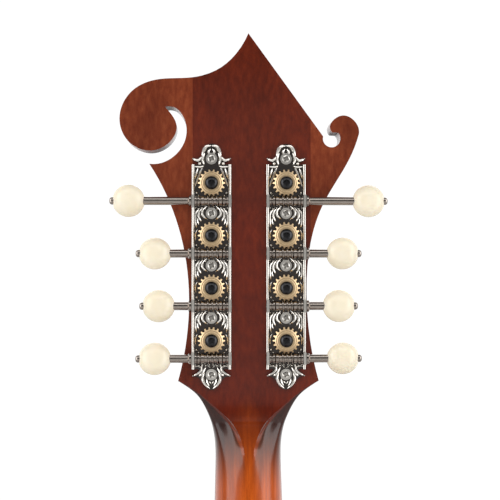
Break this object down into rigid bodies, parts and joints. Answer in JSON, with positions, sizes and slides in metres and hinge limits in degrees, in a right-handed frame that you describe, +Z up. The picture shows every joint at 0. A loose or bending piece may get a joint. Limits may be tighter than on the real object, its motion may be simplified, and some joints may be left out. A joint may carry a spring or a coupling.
{
  "type": "mandolin",
  "caption": "Scroll-bodied mandolin with carved plates, two f-holes, a leaning scroll headstock and geared tuners on relief plates.",
  "frame": {"origin": "on the neck's fingerboard face at the nut, in the middle of the neck", "axes": "+Z up the neck to the headstock, -Y the front with the strings, +X the treble side"},
  "size_m": [0.252, 0.1227, 0.6822],
  "materials": {
    "spruce_top": "satin",
    "maple_back": "satin",
    "maple_ribs": "satin",
    "inner_wood": "raw",
    "cream_binding": "satin",
    "neck_wood": "satin lacquer",
    "wing_wood": "satin lacquer",
    "black_veneer": "satin lacquer",
    "steel_rod": "plain",
    "black_plastic": "gloss",
    "bone": "satin",
    "ebony": "satin",
    "fret_nickel": "polished",
    "pearl": "gloss",
    "nickel": "polished",
    "nickel_plate": "polished nickel",
    "nickel_shaft": "polished nickel",
    "nickel_post": "polished nickel",
    "steel_string": "plain",
    "bronze_string": "wound",
    "cream_button": "gloss",
    "gear_brass": "polished"
  },
  "bodies": {
    "instrument": {"soundboard": "spruce_top", "back_plate": "maple_back", "ribs": "maple_ribs", "rib_blocks": "inner_wood", "linings": "inner_wood", "tone_bars": "inner_wood", "binding": "cream_binding", "neck": "neck_wood", "headstock_wings": "wing_wood", "headstock_overlay": "black_veneer", "truss_rod": "steel_rod", "truss_rod_cover": "black_plastic", "nut": "bone", "fingerboard": "ebony", "frets": "fret_nickel", "position_dots": "pearl", "bridge_base": "ebony", "tailpiece_base": "nickel", "end_pin": "ebony", "plain_strings": "steel_string", "wound_strings": "bronze_string", "tuner_plates": "nickel_plate", "post_bushings": "nickel", "screws": "nickel"},
    "saddle": {"bridge_saddle": "ebony"},
    "wheel_bass": {"thumbwheel_bass": "nickel"},
    "wheel_treble": {"thumbwheel_treble": "nickel"},
    "tail_cover": {"tailpiece_cover": "nickel"},
    "knob_treble_1": {"worm_shaft_treble_1": "nickel_shaft", "button_treble_1": "cream_button"},
    "post_treble_1": {"gear_treble_1": "gear_brass", "string_post_treble_1": "nickel_post"},
    "knob_treble_2": {"worm_shaft_treble_2": "nickel_shaft", "button_treble_2": "cream_button"},
    "post_treble_2": {"gear_treble_2": "gear_brass", "string_post_treble_2": "nickel_post"},
    "knob_treble_3": {"worm_shaft_treble_3": "nickel_shaft", "button_treble_3": "cream_button"},
    "post_treble_3": {"gear_treble_3": "gear_brass", "string_post_treble_3": "nickel_post"},
    "knob_treble_4": {"worm_shaft_treble_4": "nickel_shaft", "button_treble_4": "cream_button"},
    "post_treble_4": {"gear_treble_4": "gear_brass", "string_post_treble_4": "nickel_post"},
    "knob_bass_1": {"worm_shaft_bass_1": "nickel_shaft", "button_bass_1": "cream_button"},
    "post_bass_1": {"gear_bass_1": "gear_brass", "string_post_bass_1": "nickel_post"},
    "knob_bass_2": {"worm_shaft_bass_2": "nickel_shaft", "button_bass_2": "cream_button"},
    "post_bass_2": {"gear_bass_2": "gear_brass", "string_post_bass_2": "nickel_post"},
    "knob_bass_3": {"worm_shaft_bass_3": "nickel_shaft", "button_bass_3": "cream_button"},
    "post_bass_3": {"gear_bass_3": "gear_brass", "string_post_bass_3": "nickel_post"},
    "knob_bass_4": {"worm_shaft_bass_4": "nickel_shaft", "button_bass_4": "cream_button"},
    "post_bass_4": {"gear_bass_4": "gear_brass", "string_post_bass_4": "nickel_post"}
  },
  "joints": [
    {"name": "saddle_height", "type": "slide", "parent": "instrument", "child": "saddle", "axis": [0, -1, 0], "range_m": [-0.0015, 0]},
    {"name": "wheel_turn_bass", "type": "hinge", "parent": "saddle", "child": "wheel_bass", "pos_m": [-0.027, -0.0372, -0.351], "axis": [0, -1, 0], "range_deg": [-700, 10]},
    {"name": "wheel_turn_treble", "type": "hinge", "parent": "saddle", "child": "wheel_treble", "pos_m": [0.027, -0.0372, -0.351], "axis": [0, -1, 0], "range_deg": [-700, 10]},
    {"name": "cover_slide", "type": "slide", "parent": "instrument", "child": "tail_cover", "axis": [0, 0, -1], "range_m": [0, 0.02]},
    {"name": "knob_turn_treble_1", "type": "hinge", "parent": "instrument", "child": "knob_treble_1", "pos_m": [0.0164, 0.0275, 0.02809], "axis": [1, 0, 0], "continuous": true},
    {"name": "post_turn_treble_1", "type": "hinge", "parent": "instrument", "child": "post_treble_1", "pos_m": [0.0164, 0.03031, 0.03542], "axis": [0, 0.9336, -0.3584], "continuous": true},
    {"name": "knob_turn_treble_2", "type": "hinge", "parent": "instrument", "child": "knob_treble_2", "pos_m": [0.0164, 0.03574, 0.04956], "axis": [1, 0, 0], "continuous": true},
    {"name": "post_turn_treble_2", "type": "hinge", "parent": "instrument", "child": "post_treble_2", "pos_m": [0.0164, 0.03855, 0.05689], "axis": [0, 0.9336, -0.3584], "continuous": true},
    {"name": "knob_turn_treble_3", "type": "hinge", "parent": "instrument", "child": "knob_treble_3", "pos_m": [0.0164, 0.04398, 0.07104], "axis": [1, 0, 0], "continuous": true},
    {"name": "post_turn_treble_3", "type": "hinge", "parent": "instrument", "child": "post_treble_3", "pos_m": [0.0164, 0.0468, 0.07836], "axis": [0, 0.9336, -0.3584], "continuous": true},
    {"name": "knob_turn_treble_4", "type": "hinge", "parent": "instrument", "child": "knob_treble_4", "pos_m": [0.0164, 0.05223, 0.09251], "axis": [1, 0, 0], "continuous": true},
    {"name": "post_turn_treble_4", "type": "hinge", "parent": "instrument", "child": "post_treble_4", "pos_m": [0.0164, 0.05504, 0.09984], "axis": [0, 0.9336, -0.3584], "continuous": true},
    {"name": "knob_turn_bass_1", "type": "hinge", "parent": "instrument", "child": "knob_bass_1", "pos_m": [-0.0164, 0.0275, 0.02809], "axis": [1, 0, 0], "continuous": true},
    {"name": "post_turn_bass_1", "type": "hinge", "parent": "instrument", "child": "post_bass_1", "pos_m": [-0.0164, 0.03031, 0.03542], "axis": [0, 0.9336, -0.3584], "continuous": true},
    {"name": "knob_turn_bass_2", "type": "hinge", "parent": "instrument", "child": "knob_bass_2", "pos_m": [-0.0164, 0.03574, 0.04956], "axis": [1, 0, 0], "continuous": true},
    {"name": "post_turn_bass_2", "type": "hinge", "parent": "instrument", "child": "post_bass_2", "pos_m": [-0.0164, 0.03855, 0.05689], "axis": [0, 0.9336, -0.3584], "continuous": true},
    {"name": "knob_turn_bass_3", "type": "hinge", "parent": "instrument", "child": "knob_bass_3", "pos_m": [-0.0164, 0.04398, 0.07104], "axis": [1, 0, 0], "continuous": true},
    {"name": "post_turn_bass_3", "type": "hinge", "parent": "instrument", "child": "post_bass_3", "pos_m": [-0.0164, 0.0468, 0.07836], "axis": [0, 0.9336, -0.3584], "continuous": true},
    {"name": "knob_turn_bass_4", "type": "hinge", "parent": "instrument", "child": "knob_bass_4", "pos_m": [-0.0164, 0.05223, 0.09251], "axis": [1, 0, 0], "continuous": true},
    {"name": "post_turn_bass_4", "type": "hinge", "parent": "instrument", "child": "post_bass_4", "pos_m": [-0.0164, 0.05504, 0.09984], "axis": [0, 0.9336, -0.3584], "continuous": true}
  ],
  "couplings": [
    {"joint": "wheel_turn_bass", "follows": "saddle_height", "rad_per_m": 7854},
    {"joint": "wheel_turn_treble", "follows": "saddle_height", "rad_per_m": 7854},
    {"joint": "post_turn_treble_1", "follows": "knob_turn_treble_1", "ratio": 0.055556},
    {"joint": "post_turn_treble_2", "follows": "knob_turn_treble_2", "ratio": 0.055556},
    {"joint": "post_turn_treble_3", "follows": "knob_turn_treble_3", "ratio": 0.055556},
    {"joint": "post_turn_treble_4", "follows": "knob_turn_treble_4", "ratio": 0.055556},
    {"joint": "post_turn_bass_1", "follows": "knob_turn_bass_1", "ratio": 0.055556},
    {"joint": "post_turn_bass_2", "follows": "knob_turn_bass_2", "ratio": 0.055556},
    {"joint": "post_turn_bass_3", "follows": "knob_turn_bass_3", "ratio": 0.055556},
    {"joint": "post_turn_bass_4", "follows": "knob_turn_bass_4", "ratio": 0.055556}
  ]
}
